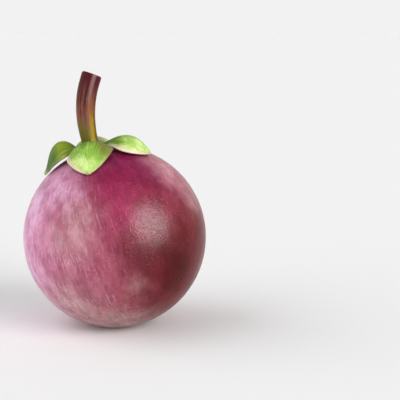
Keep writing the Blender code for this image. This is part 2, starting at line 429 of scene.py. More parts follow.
class RindSettings(bpy.types.PropertyGroup):
    """Sizes and colours of the rind."""

    dent_height: length("Dents", "Height of the broad uneven dents", 0.07 * MM)
    pit_height: length("Pits", "Height of the fine uneven grain", 0.02 * MM)
    seed: IntProperty(name="Seed", description="Which set of dents grows", default=3)
    rose: colour("Rose", "Main colour of the skin", (0.30, 0.058, 0.092))
    blush: colour("Blush", "Light pink of the pale side", (0.58, 0.17, 0.28))
    # Bloom: partly the skin's own pale lavender, partly a painted rim reflection along the left
    # edge
    bloom: colour("Bloom", "Waxy lavender over the palest side", (0.72, 0.43, 0.65))
    magenta: colour("Magenta", "Strong pink round the calyx", (0.26, 0.016, 0.066))
    plum: colour("Plum", "Dark purple in the calyx's shade", (0.17, 0.003, 0.050))
    # Wine and umber are dark reds of the skin, also laid on as painted shade over the lower right
    # side
    wine: colour("Wine", "Dark red of the ripe side", (0.130, 0.003, 0.007))
    umber: colour("Umber", "Brown of the ripest spot", (0.062, 0.0003, 0.0003))
    shell: colour("Shell", "Pale pink of the shoulder", (0.52, 0.24, 0.28))
    ash: colour("Ash", "Greyish pink underneath", (0.37, 0.23, 0.215))
    scurf: colour("Scurf", "Dry beige of rubbed skin", (0.44, 0.24, 0.25))
    roughness: share("Roughness", "How dull the skin is", 0.30)
    streak_share: share("Streaks", "How much the fine lengthwise streaks show", 0.26)
    scratch_share: share("Scratches", "How much the fine pale scratches show", 0.5)
    # Painted glints: how much paler the finest wrinkles are painted, where light would catch them
    wrinkle_share: share("Wrinkles", "How pale the finest wrinkles are", 0.16)


class SepalSettings(bpy.types.PropertyGroup):
    """Sizes and colours of the sepals."""

    vein_height: length("Vein height", "Height of the raised veins", 0.05 * MM)
    wave_height: length("Waves", "Height of the waves along the margins", 0.18 * MM)
    vein_count: IntProperty(name="Veins", description="Veins across a sepal", default=17)
    root: colour("Root", "Deep green where a sepal leaves the stalk", (0.078, 0.165, 0.002))
    leaf: colour("Leaf", "Green of the blade", (0.29, 0.50, 0.075))
    tip: colour("Tip", "Pale yellow-green of the tips and veins", (0.56, 0.72, 0.27))
    margin: colour("Margin", "Cream of the edges", (0.72, 0.64, 0.42))
    blush: colour("Margin blush", "Pink of the thick edge", (0.64, 0.44, 0.36))
    dusk: colour("Dusk", "Olive brown of a darkened corner", (0.15, 0.17, 0.018))
    olive: colour("Olive", "Dull green of the shaded sepals", (0.058, 0.134, 0.002))
    fold: colour("Fold", "Yellow-green on the shaded sepals' fold", (0.25, 0.32, 0.012))
    lining: colour("Lining", "Underside of the sepals", (0.40, 0.44, 0.16))
    strand_share: share("Strands", "How much the fine dark lines between the veins show", 0.9)
    roughness: share("Roughness", "How dull the sepals are", 0.36)


class StalkSettings(bpy.types.PropertyGroup):
    """Sizes and colours of the stalk."""

    rib_height: length("Ribs", "Height of the lengthwise wrinkles", 0.07 * MM)
    bark: colour("Bark", "Maroon brown of the upper stalk", (0.070, 0.015, 0.015))
    ridge: colour("Ridge", "Paler brown along the ribs", (0.21, 0.080, 0.060))
    ember: colour("Ember", "Orange brown where bark turns green", (0.24, 0.075, 0.016))
    olive: colour("Olive", "Green of the lower stalk", (0.130, 0.125, 0.020))
    gold: colour("Gold", "Yellow streaks of the lower stalk", (0.33, 0.24, 0.003))
    # Painted sheen: a pale line up the front of the stalk, standing in for the light's reflection
    worn: colour("Worn", "Dusty line that runs up the front", (0.46, 0.27, 0.27))
    pith: colour("Pith", "Middle of the cut end", (0.30, 0.15, 0.09))
    cut_rim: colour("Cut rim", "Dark red bark round the cut end", (0.080, 0.006, 0.012))
    roughness: share("Roughness", "How dull the bark is", 0.27)


class RosetteSettings(bpy.types.PropertyGroup):
    """Sizes and colours of the rosette at the base."""

    groove_depth: length("Grooves", "Depth of the groove down each lobe", 0.12 * MM)
    husk: colour("Husk", "Dark dry brown of the hollows", (0.050, 0.026, 0.016))
    crest: colour("Crest", "Paler brown of the raised rims", (0.17, 0.095, 0.055))


class StageSettings(bpy.types.PropertyGroup):
    """Floor, lights and camera."""

    focal_length: FloatProperty(name="Focal length", description="Camera lens, in millimetres",
                                default=100.0)
    elevation: FloatProperty(name="Elevation", description="How far the camera looks down",
                             default=math.radians(11.0), subtype="ANGLE")
    distance: length("Distance", "From the camera to the middle of the ball", 369.5 * MM)
    aside: length("Aside", "How far right of the ball the camera aims", 28.4 * MM)
    above: length("Above", "How far over the ball's middle the camera aims", 11.8 * MM)
    backdrop: colour("Backdrop", "Colour of the surroundings", (0.89, 0.89, 0.89))
    sky: colour("Sky", "Colour of the surroundings overhead", (0.46, 0.46, 0.46))
    floor: colour("Floor", "Colour of the floor", (0.892, 0.892, 0.892))
    key_strength: strength("Key light", "Light from the right front", 2.3)
    fill_strength: strength("Fill light", "Light from the left", 1.5)
    gleam_strength: strength("Gleam light", "Light from the key's place that only shines", 6.4)


# -------------------- the rind

FADE_POWER = 4.0

# How fine each pattern is, in features to a ball radius; pairs are round the ball and along it
DENT_SCALE = 3.2
PIT_SCALE = 16.0
DRIFT_SCALE = 2.0
RAGGED_SCALE = 7.0
MOTTLE_SCALE = Vector((6.4, 6.4, 3.4))
STREAK_SCALE = (26.0, 9.0)
HAIR_SCALE = (60.0, 8.0)
SCRATCHED_SCALE = 4.0
FOLD_SCALE = 5.0
FOLD_TURNS = 80.0
CREASED_SCALE = 6.0
GRAIN_SCALE = 60.0
DULLING_SCALE = 7.0

# How far the clouds of colour are blown about, and what the mottling makes of them
DRIFT_SHARE = 0.30
RAGGED_SHARE = 0.17
MOTTLE_DARK = (0.82, 0.62, 0.70)
MOTTLE_PALE = (1.16, 1.30, 1.25)

# Where each pattern starts to show and where it is full
MOTTLE_RANGE = (0.34, 0.66)
STREAK_RANGE = (0.36, 0.66)
PALE_SIDE_RANGE = (0.25, -0.35)
HAIR_RANGE = (0.54, 0.68)
SCRATCHED_RANGE = (0.42, 0.62)
FOLD_RANGE = (0.2, 1.0)
CREASED_RANGE = (0.40, 0.60)

# Steps aside that give a pattern its own part of the noise
SCRATCHED_SHIFT = 5.0
FOLD_SHIFT = 2.0
DULLING_SHIFT = 9.0

# The skin's relief and shine
SKIN_RELIEF = 0.06 * MM
GRAIN_HEIGHT = 0.35
HAIR_HEIGHT = 0.6
STREAK_HEIGHT = 0.5
WRINKLE_HEIGHT = 0.45
DULLING_SPREAD = 0.2
WRINKLE_DULLING = 0.06
SKIN_SHINE = 0.16


def dimple(nearness, depth, reach):
    """Depth of a soft round hollow, from the cosine of the angle to its middle."""
    return fade(nearness.at_most(1.0).do("ARCCOSINE") / reach) * depth


def fade(distance):
    """1 at no distance, falling to 0 soon after 1."""
    return (distance ** FADE_POWER * -1.0).do("EXPONENT")


def towards_base(direction):
    """Turn a direction about the fruit's own -Z to one about the rosette, a little to one side."""
    settings = {"rotation_type": "Y_AXIS"}
    sockets = {"Vector": direction, "Angle": -BASE_OFFSET_ANGLE}
    return direction.tree.add("ShaderNodeVectorRotate", settings, sockets)


def ball_radius_at(direction):
    """Distance from the ball's middle to its skin in one direction."""
    x, y, z = direction.tree.split(direction)
    around = direction.tree.work_out("ARCTAN2", y, x)
    swell = SWELL_HEIGHT * (around * 2.0 + SWELL_PHASE).do("COSINE")
    lobes = LOBE_HEIGHT * (around * LOBE_COUNT - LOBE_PHASE).do("COSINE") * z
    base = Vector((math.sin(BASE_OFFSET_ANGLE), 0.0, -math.cos(BASE_OFFSET_ANGLE)))
    near_base = direction.tree.work_out("DOT_PRODUCT", direction, base)
    radius = BALL_RADIUS + (1.0 - z * z) * (swell + lobes)
    radius = radius - dimple(z, STALK_DIMPLE_DEPTH, STALK_DIMPLE_ANGLE)
    return radius - dimple(near_base, BASE_DIMPLE_DEPTH, BASE_DIMPLE_ANGLE)


def rind_shape(settings, material):
    """The tree of the rind: a cube's even grid blown up to the ball, with dents and fine grain."""
    tree = ShapeTree("rind_shape")
    take = tree.take(dent_height=settings.dent_height, pit_height=settings.pit_height,
                     seed=settings.seed)
    sockets = {"Size": (2.0, 2.0, 2.0), "Vertices X": BALL_GRID + 1, "Vertices Y": BALL_GRID + 1,
               "Vertices Z": BALL_GRID + 1}
    cube = tree.add("GeometryNodeMeshCube", None, sockets)
    corners = tree.split(tree.add("GeometryNodeInputPosition"))
    even = tree.join(*((corner * (0.25 * math.pi)).do("TANGENT") for corner in corners))
    direction = even.do("NORMALIZE")
    shifted = direction + take["seed"]
    dents = tree.noise(shifted, DENT_SCALE, detail=1.0) - 0.5
    pits = tree.noise(shifted, PIT_SCALE, detail=2.0) - 0.5
    radius = ball_radius_at(direction) + dents * take["dent_height"] + pits * take["pit_height"]
    x, y, z = tree.split(tree.stand(direction * radius))
    tree.finish(cube, tree.join(x, y, z.at_least(0.0)), material)
    return tree


@dataclass
class Patch:
    """A soft cloud of one colour on the skin; angles in degrees, azimuth from the front to +X."""

    colour: str
    azimuth: float
    latitude: float
    reach: float
    strength: float = 1.0

    def cover(self, tree, direction):
        """How much of the skin the patch covers: all at its middle, about a third at its reach."""
        azimuth, latitude = math.radians(self.azimuth), math.radians(self.latitude)
        level = math.cos(latitude)
        middle = Vector((level * math.sin(azimuth), -level * math.cos(azimuth), math.sin(latitude)))
        nearness = tree.work_out("DOT_PRODUCT", direction, middle)
        sharpness = 2.0 / math.radians(self.reach) ** 2
        return ((nearness - 1.0) * sharpness).do("EXPONENT") * self.strength


# From the large to the small
PATCHES = [Patch(*row) for row in (
    ("blush", -66, 10, 40),
    ("blush", -150, 20, 50, 0.8),
    # Painted rim reflection: pale lavender laid along the left edge
    ("bloom", -98, 5, 41),
    ("ash", -44, -30, 22, 0.55),
    # Painted shade: these dark red and brown patches deepen the lower right side, which is turned
    # from the light
    ("wine", 62, -4, 36),
    ("wine", 34, -38, 26, 0.9),
    ("wine", 66, -44, 24, 0.8),
    ("wine", 150, -10, 50, 0.7),
    ("ash", -30, -66, 24),
    ("magenta", 12, 44, 25),
    ("magenta", 48, 36, 18, 0.6),
    ("magenta", 170, 50, 40, 0.8),
    ("plum", 46, 42, 15, 0.9),
    ("plum", 30, 62, 16, 0.9),
    ("wine", 25, 8, 17, 0.75),
    ("umber", 37, -20, 23),
    ("umber", 8, -6, 11, 0.36),
    ("shell", 70, 34, 13, 0.9),
    ("shell", -48, -20, 13, 0.75),
    ("bloom", -62, 38, 15, 0.5),
    ("bloom", -86, -22, 18, 0.6),
    ("magenta", 9, 22, 13, 0.65),
    ("scurf", -18, 28, 12, 0.7),
    ("scurf", -26, 12, 12, 0.6),
    ("rose", -8, -30, 14, 0.7),
    ("wine", 2, -28, 10, 0.3),
    # Painted shade over the bottom right edge, which the floor would otherwise light
    ("umber", 38, -56, 16, 0.4),
    ("scurf", -50, -28, 8, 0.5),
    ("ash", 6, -24, 7, 0.35),
    ("ash", -14, -46, 8, 0.5),
    ("ash", 4, -54, 8, 0.5),
    ("bloom", -54, 60, 15, 0.42),
    ("bloom", -30, 46, 11, 0.34),
    ("shell", 72, 46, 10, 0.5),
    ("scurf", 70, 14, 9, 0.5),
    ("wine", 40, 30, 13, 0.3),
    ("rose", -32, 0, 9, 0.45),
    ("umber", 20, -14, 14, 0.3),
    ("scurf", -48, -40, 13, 0.45),
    ("ash", -36, -16, 9, 0.3),
    ("scurf", 100, 20, 20, 0.5),
    ("scurf", -160, -20, 18, 0.5),
)]


def rind_colour(tree, settings, direction):
    """The skin's colour: soft clouds of blush and dark red, with painted shade on the lower right
    and a painted rim reflection on the left, mottled all over.
    """
    drift = tree.noise(direction, DRIFT_SCALE, detail=2.0).out("Color") - 0.5
    ragged = tree.noise(direction, RAGGED_SCALE, detail=4.0, roughness=0.6).out("Color") - 0.5
    cloudy = (direction + drift * DRIFT_SHARE + ragged * RAGGED_SHARE).do("NORMALIZE")
    clouds = [(patch.cover(tree, cloudy), getattr(settings, patch.colour)) for patch in PATCHES]
    skin = tree.paint(settings.rose, *clouds)
    mottle = tree.noise(direction * MOTTLE_SCALE, detail=7.0, roughness=0.62)
    return skin * tree.mix(tree.ease(mottle, *MOTTLE_RANGE), MOTTLE_DARK, MOTTLE_PALE)


def lengthwise(tree, direction, around, along):
    """A place on the skin stretched along its meridians, without a seam."""
    x, y, z = tree.split(direction)
    circle = tree.join(x, y, 0.0).do("NORMALIZE")
    return circle * around + tree.join(0.0, 0.0, z * along)


def rind_finish(settings):
    """The skin: clouds of colour, with a waxy lavender bloom that is partly a painted rim
    reflection, fine streaks, scratches, and creases painted paler as glints.
    """
    tree = FinishTree("rind_skin")
    direction = tree.on_ball().do("NORMALIZE")
    skin = rind_colour(tree, settings, direction)

    streak_place = lengthwise(tree, direction, *STREAK_SCALE)
    streaks = tree.noise(streak_place, detail=6.0, roughness=0.66)
    combed = tree.ease(streaks, *STREAK_RANGE) - 0.5
    skin = skin * (combed * settings.streak_share + 1.0)

    pale_side = tree.ease(tree.split(direction)[0], *PALE_SIDE_RANGE)
    hairs = tree.noise(lengthwise(tree, direction, *HAIR_SCALE), roughness=0.6)
    scratched = tree.noise(direction + SCRATCHED_SHIFT, SCRATCHED_SCALE)
    scratches = tree.ease(hairs, *HAIR_RANGE) * tree.ease(scratched, *SCRATCHED_RANGE)
    skin = tree.mix(scratches * pale_side * settings.scratch_share, skin, settings.bloom)

    folds = (tree.noise(direction + FOLD_SHIFT, FOLD_SCALE) * FOLD_TURNS).do("SINE")
    creased = tree.noise(direction, CREASED_SCALE)
    wrinkles = tree.ease(folds, *FOLD_RANGE) * tree.ease(creased, *CREASED_RANGE)
    # Painted glints: the finest wrinkles are painted paler as well as bumped
    skin = skin * (wrinkles * settings.wrinkle_share + 1.0)

    height = (tree.noise(direction, GRAIN_SCALE) * GRAIN_HEIGHT + hairs * HAIR_HEIGHT
              + streaks * STREAK_HEIGHT + wrinkles * WRINKLE_HEIGHT)
    dulling = tree.noise(direction + DULLING_SHIFT, DULLING_SCALE, detail=4.0) - 0.5
    dulling = dulling * DULLING_SPREAD + wrinkles * WRINKLE_DULLING
    return tree.dress(height, SKIN_RELIEF, Base_Color=skin,
                      Roughness=dulling + settings.roughness, Specular_IOR_Level=SKIN_SHINE)


# -------------------- the stalk

# How fine each pattern is: pairs are round the stalk and along it
RIB_SCALE = (3.4, 1.6)
KNOT_SCALE = (1.2, 9.0)
BARK_STREAK_SCALE = (5.0, 3.0)
FINE_BARK_SCALE = (16.0, 9.0)
BARK_CLOUD_SCALE = 2.5
FIBRE_SPREAD = 2.5
FIBRE_SCALE = 6.0
FIBRE_HEIGHT = 0.3 * MM
RING_TURNS = 26.0

# Where each colour starts and where it is full: along the stalk, to its right or in a pattern
CUT_ALONG = (0.9, 1.0)
CUT_OUTWARD = (0.02, 0.16)
RIDGE_RANGE = (0.36, 0.66)
RIDGE_FADES_AT = 0.6
EMBER_RIGHT = (0.05, 0.6)
EMBER_ALONG = (0.92, 0.60)
OLIVE_ALONG = (0.48, 0.25)
GOLD_RIGHT = (-0.05, 0.35)
GOLD_ALONG = (0.64, 0.32)
DART_RANGE = (0.56, 0.66)
DART_ALONG = (0.95, 0.5)
EDGE_RIGHT = (0.70, 0.95)
# Where the painted sheen runs up the stalk
SHEEN_RIGHT = 0.30
SHEEN_WIDTH = (0.32, 0.02)
SHEEN_BEHIND = (-0.2, -0.5)
SHEEN_ALONG = (0.58, 0.84)
SCAR_ALONG = (0.12, 0.04)
SCAR_RIGHT = (0.1, -0.5)
TOP_ALONG = (0.80, 1.0)

BARK_RELIEF = 0.10 * MM
BARK_SHINE = 0.06


def stalk_centre(along):
    """The stalk's middle line: straight out of the fruit, then bending over to +X."""
    bend = along.at_least(0.0) ** STALK_BEND_POWER
    height = along * (STALK_TOP_Z - STALK_FOOT_Z) + STALK_FOOT_Z
    return along.tree.join(bend * STALK_BEND + STALK_FOOT_X, bend * STALK_BEND_BACK, height)


def stalk_radius(along):
    """The stalk's radius: a slight waist over its foot, then thickening to the cut."""
    near_foot = (along / STALK_WAIST_AT).at_most(1.0)
    flare = (near_foot * math.pi).do("COSINE") * 0.5 + 0.5
    past = ((along - STALK_WAIST_AT) / (1.0 - STALK_WAIST_AT)).at_least(0.0)
    thicken = (past * (0.5 * math.pi)).do("SINE")
    return (STALK_WAIST_RADIUS + flare * (STALK_FOOT_RADIUS - STALK_WAIST_RADIUS)
            + thicken * (STALK_TOP_RADIUS - STALK_WAIST_RADIUS))


def bark_noise(circle, along, scale, **settings):
    """Noise on the stalk's side, as fine round the stalk and along it as the scale's pair says."""
    tree = circle.tree
    return tree.noise(circle * scale[0] + tree.join(0.0, 0.0, along * scale[1]), **settings)


def stalk_shape(settings, material):
    """The tree of the stalk: a capped cylinder bent along its middle line."""
    tree = ShapeTree("stalk_shape")
    take = tree.take(rib_height=settings.rib_height)
    sockets = {"Vertices": STALK_SIDES, "Side Segments": STALK_ROWS,
               "Fill Segments": STALK_CUT_RINGS, "Radius": 1.0, "Depth": 1.0}
    tube = tree.add("GeometryNodeMeshCylinder", {"fill_type": "TRIANGLE_FAN"}, sockets)
    x, y, z = tree.split(tree.add("GeometryNodeInputPosition"))
    along = z + 0.5
    around = tree.work_out("ARCTAN2", y, x)
    inward = 1.0 - tree.join(x, y, 0.0).do("LENGTH").at_most(1.0)
    turn = (inward / STALK_RIM_SHARE).at_most(1.0) * (0.5 * math.pi)
    middle = 1.0 - ((inward - STALK_RIM_SHARE) / (1.0 - STALK_RIM_SHARE)).at_least(0.0)
    rim = STALK_RIM * (1.0 - turn.do("COSINE"))
    at_top = tree.ease(along, *CUT_ALONG)
    lift = turn.do("SINE") * STALK_RIM * at_top

    circle = tree.join(around.do("COSINE"), around.do("SINE"), 0.0)
    ribs = bark_noise(circle, along, RIB_SCALE) - 0.5
    knots = bark_noise(circle, along, KNOT_SCALE, detail=2.0) - 0.5
    relief = (ribs * 2.0 + knots) * take["rib_height"]
    radius = (stalk_radius(along) - rim + relief) * middle
    ahead = stalk_centre(along + SLOPE_STEP)
    behind = stalk_centre(along - SLOPE_STEP)
    forward = (ahead - behind).do("NORMALIZE")
    side = tree.work_out("CROSS_PRODUCT", Vector((0.0, 1.0, 0.0)), forward).do("NORMALIZE")
    back = tree.work_out("CROSS_PRODUCT", forward, side)
    outward = side * around.do("COSINE") + back * around.do("SINE")
    fibres = tree.noise(circle * FIBRE_SPREAD * inward, FIBRE_SCALE, detail=2.0) - 0.5
    fibres = fibres * at_top * (1.0 - middle) * FIBRE_HEIGHT
    place = stalk_centre(along) + forward * (lift + fibres) + outward * radius
    tree.finish(tube, tree.stand(place), material,
                bark=tree.join(around.do("COSINE"), around.do("SINE"), along),
                cut=tree.join(1.0 - middle, at_top, 0.0))
    return tree


def stalk_finish(settings):
    """Maroon bark that turns olive and gold towards the fruit, with a painted sheen up its front,
    and the fibrous cut end.
    """
    tree = FinishTree("stalk_bark")
    bark = tree.kept("bark")
    right, behind, along = tree.split(bark)
    circle = tree.join(right, behind, 0.0)
    streaks = bark_noise(circle, along, BARK_STREAK_SCALE, detail=4.0, roughness=0.6)
    fine = bark_noise(circle, along, FINE_BARK_SCALE)
    clouds = tree.noise(bark * BARK_CLOUD_SCALE)
    climb = along + (clouds - 0.5) * 0.25 + (streaks - 0.5) * 0.4
    rightward = right + (streaks - 0.5) * 1.6 + behind.at_least(0.0) * 0.5

    ridges = tree.ease(streaks + (RIDGE_FADES_AT - along) * 0.6, *RIDGE_RANGE)
    embers = tree.ease(rightward, *EMBER_RIGHT) * tree.ease(climb, *EMBER_ALONG)
    greened = tree.ease(climb + right * 0.12, *OLIVE_ALONG)
    gilded = tree.ease(rightward - climb * 0.5, *GOLD_RIGHT) * tree.ease(climb, *GOLD_ALONG)
    darts = tree.ease(fine * 0.6 + streaks * 0.5, *DART_RANGE) * tree.ease(along, *DART_ALONG)
    right_edge = tree.ease(right + (fine - 0.5) * 0.5, *EDGE_RIGHT)
    scar = tree.ease(along, *SCAR_ALONG) * tree.ease(right, *SCAR_RIGHT)
    # Painted sheen: a pale line up the front right, where the light's reflection runs along the
    # stalk
    off_line = (right - SHEEN_RIGHT + (streaks - 0.5) * 0.20).do("ABSOLUTE")
    worn = tree.ease(off_line, *SHEEN_WIDTH) * tree.ease(behind, *SHEEN_BEHIND)
    worn = worn * (tree.ease(along, *SHEEN_ALONG) * 0.30 + 0.06)

    outward, at_top, _ = tree.split(tree.kept("cut"))
    rings = (outward * RING_TURNS + clouds * 4.0).do("SINE") * 0.5 + 0.5
    wood = tree.mix(rings * 0.35 + tree.ease(fine, 0.4, 0.7) * 0.4, settings.pith, settings.ridge)
    on_cut = tree.ease(outward, *CUT_OUTWARD) * at_top

    skin = tree.paint(settings.bark, (ridges, settings.ridge), (embers, settings.ember),
                      (greened, settings.olive), (gilded, settings.gold),
                      (darts * 0.55, settings.ember), (right_edge * 0.9, settings.cut_rim),
                      (scar * 0.85, settings.bark),
                      (tree.ease(along, *TOP_ALONG) * 0.7, settings.cut_rim),
                      (worn, settings.worn), (on_cut, wood))
    height = streaks * 0.7 + fine * 0.35 + rings * on_cut * 0.4
    return tree.dress(height, BARK_RELIEF, Base_Color=skin,
                      Roughness=(fine - 0.5) * 0.3 + on_cut * 0.3 + settings.roughness,
                      Specular_IOR_Level=BARK_SHINE)


# -------------------- the sepals

# The veins' wandering and the waves: how fine along and across, and how far apart two sepals are
BLADE_SCALE = Vector((3.0, 1.6, 7.0))
WANDER_SCALE = 1.4
WANDER_SHARE = 0.25
VEIN_SHARPNESS = 3.0
VEIN_ALONG = (0.02, 0.25)
ROLLED_ALONG = (0.98, 1.0)

# How fine the colouring is; the strands' pair is across and along the blade
BLADE_CLOUD_SCALE = 9.0
BLADE_GRAIN_SCALE = 55.0
STRAND_SCALE = (14.0, 1.8)
CLOUD_DARK = (0.80, 0.84, 0.62)
CLOUD_PALE = (1.16, 1.10, 1.25)
STRAND_DARK = (0.52, 0.68, 0.22)
STRAND_PALE = (1.05, 1.05, 1.0)
VEIN_PALENESS = {"sepal_light": 0.42, "sepal_dark": 0.20}

# Where each colour starts and where it is full
LEAF_ALONG = (0.16, 0.64)
PALE_TIP_ALONG = (0.62, 1.02)
DARK_TIP_ALONG = (0.78, 1.02)
CREASE_ALONG = (0.02, 0.25)
CREASE_ENDS = (0.60, 0.30)
CLOUD_RANGE = (-0.16, 0.16)
STRAND_RANGE = (0.38, 0.60)
LEFT_ACROSS = (0.3, -0.3)
CORNER_ACROSS = (0.25, 0.80)
CORNER_ALONG = (0.85, 0.45)
MARGIN_ALONG = (0.05, 0.35)
THICK_EDGE_SIDE = (0.98, 0.55)
THICK_EDGE_ALONG = (0.05, 0.3)
UNDERSIDE = (-0.5, -0.95)

BLADE_RELIEF = 0.07 * MM
BLADE_SHINE = 0.15


def arch_height(along, form):
    """Height of a sepal's midline above the ball: a straight run plus one rounded hump."""
    along = along.at_least(0.0).at_most(1.0)
    rise = form["hump_sharpness"] * form["hump_at"]
    fall = form["hump_sharpness"] * (1.0 - form["hump_at"])
    peak = form["hump_at"] ** rise * (1.0 - form["hump_at"]) ** fall
    hump = along ** rise * (1.0 - along) ** fall / peak
    straight = along * (SEPAL_TIP_HEIGHT - SEPAL_ROOT_HEIGHT) + SEPAL_ROOT_HEIGHT
    return straight + form["hump"] * hump


def half_width(along, form):
    """Half the sepal's width: a narrow neck, a broad middle, a rounded point."""
    along = along.at_least(0.0).at_most(1.0)
    before = (along / form["wide_at"]).at_most(1.0)
    widening = (before * (0.5 * math.pi)).do("SINE") ** form["swell"]
    past = ((along - form["wide_at"]) / (1.0 - form["wide_at"])).at_least(0.0)
    narrowing = (1.0 - past ** form["taper"]).at_least(0.0) ** form["roundness"]
    spread = form["neck"] + (1.0 - form["neck"]) * widening
    return (form["half_width"] * spread * narrowing).at_least(SEPAL_TIP_HALF_WIDTH)


def blade_middle(along, across, roll, form):
    """A point of the blade's middle layer, before the blade is turned round the stalk."""
    tip_run = form["tip_angle"] - SEPAL_ROOT_ANGLE
    angle_out = along * tip_run + SEPAL_ROOT_ANGLE
    offset = across + form["lopsided"] * across.do("ABSOLUTE")
    sideways = (offset * half_width(along, form) + across * roll) / BALL_RADIUS
    brim = math.cos(SEPAL_CUP_ANGLE)
    crown = ((across * SEPAL_CUP_ANGLE).do("COSINE") - brim) / (1.0 - brim)
    crown = form["curl"] + (1.0 - form["curl"]) * crown
    height = (arch_height(along, form) - SEPAL_EDGE_HEIGHT) * crown + SEPAL_EDGE_HEIGHT
    reach = height + BALL_RADIUS
    level = reach * sideways.do("COSINE")
    return along.tree.join(level * angle_out.do("SINE"), reach * sideways.do("SINE"),
                           level * angle_out.do("COSINE"))


def sepal_shape(sepal, settings, material):
    """The tree of one sepal: a thin slab bent to the blade, with raised veins and waves."""
    tree = ShapeTree(sepal.name + "_shape")
    sizes = {name: value for name, value in vars(sepal).items() if name not in SEPAL_LOOKS}
    form = tree.take(vein_height=settings.vein_height, wave_height=settings.wave_height,
                     vein_count=settings.vein_count, **sizes)
    sockets = {"Size": (1.0 + SEPAL_ROOT_RUN, 2.0, 2.0), "Vertices X": SEPAL_ROWS,
               "Vertices Y": SEPAL_COLUMNS, "Vertices Z": SEPAL_LAYERS}
    slab = tree.add("GeometryNodeMeshCube", None, sockets)
    x, across, side = tree.split(tree.add("GeometryNodeInputPosition"))
    along = x + 0.5 * (1.0 - SEPAL_ROOT_RUN)
    roll = (1.0 - side * side).at_least(0.0).do("SQRT") * SEPAL_ROLL
    along_rolled = along + roll / BALL_RADIUS * tree.ease(along, *ROLLED_ALONG)
    middle = blade_middle(along_rolled, across, roll, form)
    ahead = blade_middle(along_rolled + SLOPE_STEP, across, roll, form)
    behind = blade_middle(along_rolled - SLOPE_STEP, across, roll, form)
    rightward = blade_middle(along_rolled, across + SLOPE_STEP, roll, form)
    leftward = blade_middle(along_rolled, across - SLOPE_STEP, roll, form)
    normal = tree.work_out("CROSS_PRODUCT", ahead - behind, rightward - leftward).do("NORMALIZE")

    on_blade = tree.join(along, across, form["azimuth"]) * BLADE_SCALE
    wander = tree.noise(on_blade, WANDER_SCALE, detail=2.0) - 0.5
    vein_run = (across + wander * WANDER_SHARE) * form["vein_count"] * (0.5 * math.pi)
    vein = (1.0 - vein_run.do("SINE").do("ABSOLUTE")) ** VEIN_SHARPNESS
    on_top = side.at_least(0.0)
    veins = vein * form["vein_height"] * on_top * tree.ease(along, *VEIN_ALONG)
    waves = (tree.noise(on_blade, detail=1.0) - 0.5) * across * across * form["wave_height"]
    thick = across * across * (SEPAL_THICK_EDGE - SEPAL_THICK_MIDDLE) + SEPAL_THICK_MIDDLE
    lift = side * thick * 0.5 + veins + waves * 2.0
    turned = tree.add("ShaderNodeVectorRotate", {"rotation_type": "Z_AXIS"},
                      {"Vector": middle + normal * lift, "Angle": form["azimuth"]})
    tree.finish(slab, tree.stand(turned), material, blade=tree.join(along, across, side),
                veins=tree.join(vein, wander, 0.0))
    return tree


def sepal_green(tree, sepal, settings, along, clouds, to_left):
    """The ground colour of a blade, from its root to its tip."""
    if sepal.slot == "sepal_light":
        leaf = tree.ease(along + clouds * 0.4, *LEAF_ALONG)
        tip = tree.ease(along + clouds * 0.5 + to_left * 0.26, *PALE_TIP_ALONG)
        return tree.paint(settings.root, (leaf, settings.leaf), (tip, settings.tip))
    fold = tree.ease(along + clouds * 0.3, *CREASE_ALONG) * tree.ease(along, *CREASE_ENDS)
    tip = tree.ease(along + clouds * 0.4, *DARK_TIP_ALONG)
    return tree.paint(settings.olive, (fold * 0.9, settings.fold), (tip, settings.tip))


def sepal_finish(sepal, settings):
    """Leathery green, deep at the root and pale at the tip, with fanning veins and cream edges."""
    tree = FinishTree(sepal.name + "_skin")
    along, across, side = tree.split(tree.kept("blade"))
    vein, wander, _ = tree.split(tree.kept("veins"))
    place = tree.on_ball()
    clouds = tree.noise(place, BLADE_CLOUD_SCALE, detail=4.0, roughness=0.6) - 0.5
    fine = tree.noise(place, BLADE_GRAIN_SCALE) - 0.5
    fanned = tree.join((across + wander * WANDER_SHARE) * STRAND_SCALE[0],
                       along * STRAND_SCALE[1], sepal.azimuth)
    strands = tree.noise(fanned, detail=4.0, roughness=0.6)
    to_left = tree.ease(across, *LEFT_ACROSS)
    green = sepal_green(tree, sepal, settings, along, clouds, to_left)
    green = green * tree.mix(tree.ease(clouds, *CLOUD_RANGE), CLOUD_DARK, CLOUD_PALE)
    lines = tree.ease(strands, *STRAND_RANGE) * (1.0 - along * 0.55)
    green = green * tree.mix(lines * settings.strand_share, STRAND_PALE, STRAND_DARK)

    paled = vein * (1.0 - along * 0.5) * VEIN_PALENESS[sepal.slot]
    corner = tree.ease(across + clouds * 0.4, *CORNER_ACROSS) * tree.ease(along, *CORNER_ALONG)
    cream = sepal.cream_right + to_left * (sepal.cream_left - sepal.cream_right)
    outer = across.do("ABSOLUTE") + clouds * 0.25 + (along - 0.5).at_least(0.0) * 0.12
    margin = tree.ease(outer, sepal.cream_from, 1.0) * tree.ease(along, *MARGIN_ALONG)
    thick_edge = tree.ease(side.do("ABSOLUTE"), *THICK_EDGE_SIDE)
    thick_edge = thick_edge * tree.ease(along, *THICK_EDGE_ALONG)
    green = tree.paint(green, (paled, settings.tip), (corner * sepal.dusk, settings.dusk),
                       (margin * cream, settings.margin),
                       (thick_edge * (cream * 0.8 + 0.1), settings.blush),
                       (tree.ease(side, *UNDERSIDE) * 0.8, settings.lining))
    height = vein * 0.6 + fine * 0.4 + clouds * 0.6 - lines * 0.4
    return tree.dress(height, BLADE_RELIEF, Base_Color=green,
                      Roughness=clouds * 0.2 + vein * 0.06 + settings.roughness,
                      Specular_IOR_Level=BLADE_SHINE)


# -------------------- the rosette

GROOVE_SHARPNESS = 60.0
GROOVE_RANGE = (0.15, 0.6)
WRINKLE_SCALE = 60.0
HUSK_SCALE = 40.0
CREST_RANGE = (0.45, 0.72)
HUSK_RELIEF = 0.15 * MM
HUSK_ROUGHNESS = 0.75
HUSK_SHINE = 0.3


